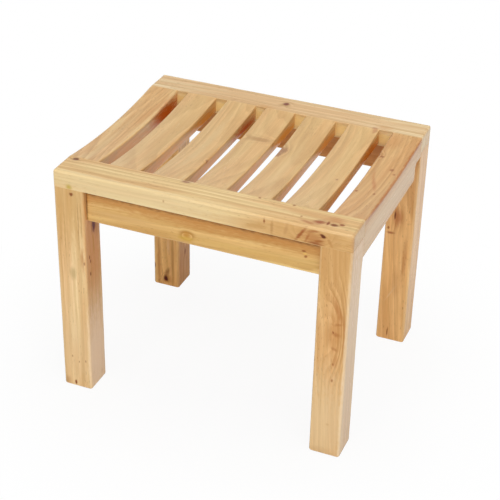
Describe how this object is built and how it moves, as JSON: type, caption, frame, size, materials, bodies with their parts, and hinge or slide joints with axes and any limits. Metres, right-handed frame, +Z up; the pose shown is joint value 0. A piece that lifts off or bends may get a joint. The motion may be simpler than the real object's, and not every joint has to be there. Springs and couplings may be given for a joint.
{
  "type": "bath stool",
  "caption": "Low rectangular wooden stool with a slatted, dished seat on straight square legs, to sit on or set things on in a bathroom.",
  "frame": {"origin": "on the floor under the middle of the seat", "axes": "+X along the seat's long side to the right, +Y from the front to the back, +Z up"},
  "size_m": [0.4, 0.325, 0.333],
  "materials": {
    "leg_wood": "oiled solid wood, straight grain along the leg",
    "rail_wood": "oiled solid wood, grain along the rail, a few small knots",
    "seat_wood": "oiled solid wood, grain along each slat, a few small knots",
    "apron_wood": "oiled solid wood, warmer in tone, grain along the board"
  },
  "bodies": {
    "root": {"leg_front_left": "leg_wood", "leg_front_right": "leg_wood", "leg_back_left": "leg_wood", "leg_back_right": "leg_wood", "rail_front": "rail_wood", "rail_back": "rail_wood", "apron_front": "apron_wood", "apron_back": "apron_wood", "end_board_left": "seat_wood", "end_board_right": "seat_wood", "slat_1": "seat_wood", "slat_2": "seat_wood", "slat_3": "seat_wood", "slat_4": "seat_wood", "slat_5": "seat_wood"}
  },
  "joints": []
}
